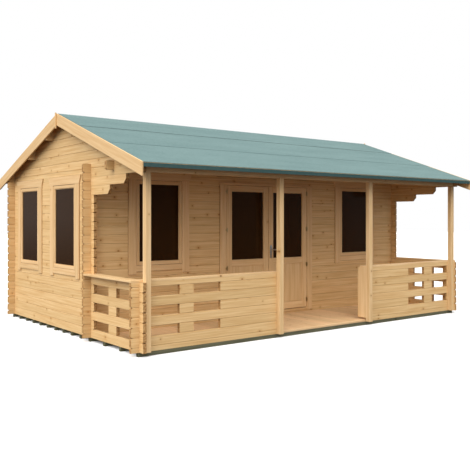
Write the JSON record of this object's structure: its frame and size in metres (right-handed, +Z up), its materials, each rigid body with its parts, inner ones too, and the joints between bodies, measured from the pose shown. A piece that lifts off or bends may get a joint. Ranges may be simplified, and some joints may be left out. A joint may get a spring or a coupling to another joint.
{
  "type": "log cabin",
  "caption": "Hollow single-room log cabin with a pitched felt roof carried over a front veranda, hinged double door, tall gable and front windows, and a slotted log balustrade.",
  "frame": {"origin": "on the ground, under the middle of the ridge, at the centre of the plan's bounding box", "axes": "+X along the ridge to the right seen from the front, +Y to the back, +Z up; the veranda is at -Y"},
  "size_m": [6.2426, 4.618, 3.0121],
  "materials": {
    "pine_log": "planed untreated spruce log, satin",
    "pine_planed": "planed softwood beam, satin",
    "pine_joinery": "fine planed joinery pine, satin",
    "pine_floor": "tongued floor board, satin",
    "pine_roof_board": "tongued roof board, satin",
    "treated_softwood": "pressure treated sawn bearer, matt",
    "roofing_felt": "mineral surfaced green roofing felt, matt grit",
    "glass": "clear double glazing, dark room behind",
    "hinge_steel": "zinc plated steel",
    "handle_steel": "satin stainless steel"
  },
  "bodies": {
    "cabin": {"floor_bearers": "treated_softwood", "room_floor": "pine_floor", "veranda_deck": "pine_floor", "front_sill_log": "pine_log", "front_wall_left": "pine_log", "front_wall_right": "pine_log", "front_wall_over_door": "pine_log", "back_wall": "pine_log", "left_gable_wall": "pine_log", "right_gable_wall": "pine_log", "left_gable_peak": "pine_log", "right_gable_peak": "pine_log", "purlins": "pine_planed", "tie_log": "pine_log", "eaves_beam": "pine_planed", "veranda_posts": "pine_planed", "front_panels": "pine_log", "left_side_panel": "pine_log", "right_side_panel": "pine_log", "left_handrail": "pine_planed", "right_handrail": "pine_planed", "panel_end_boards": "pine_planed", "roof_boards_front": "pine_roof_board", "roof_boards_back": "pine_roof_board", "felt_front": "roofing_felt", "felt_back": "roofing_felt", "felt_ridge": "roofing_felt", "left_bargeboards": "pine_joinery", "right_bargeboards": "pine_joinery", "front_window_frames": "pine_joinery", "left_window_frames": "pine_joinery", "right_window_frames": "pine_joinery", "front_sashes": "pine_joinery", "left_sashes": "pine_joinery", "right_sashes": "pine_joinery", "window_glass": "glass", "door_frame": "pine_joinery", "hinge_plates": "hinge_steel"},
    "left_door": {"door_leaf_left": "pine_joinery", "door_glass_left": "glass", "hinges_left": "hinge_steel"},
    "right_door": {"door_leaf_right": "pine_joinery", "door_glass_right": "glass", "hinges_right": "hinge_steel", "door_handle": "handle_steel"}
  },
  "joints": [
    {"name": "left_door_hinge", "type": "hinge", "parent": "cabin", "child": "left_door", "pos_m": [-0.8095, -0.8175, 1.1], "axis": [0, 0, -1], "range_deg": [0, 105]},
    {"name": "right_door_hinge", "type": "hinge", "parent": "cabin", "child": "right_door", "pos_m": [0.8095, -0.8175, 1.1], "axis": [0, 0, 1], "range_deg": [0, 105]}
  ]
}
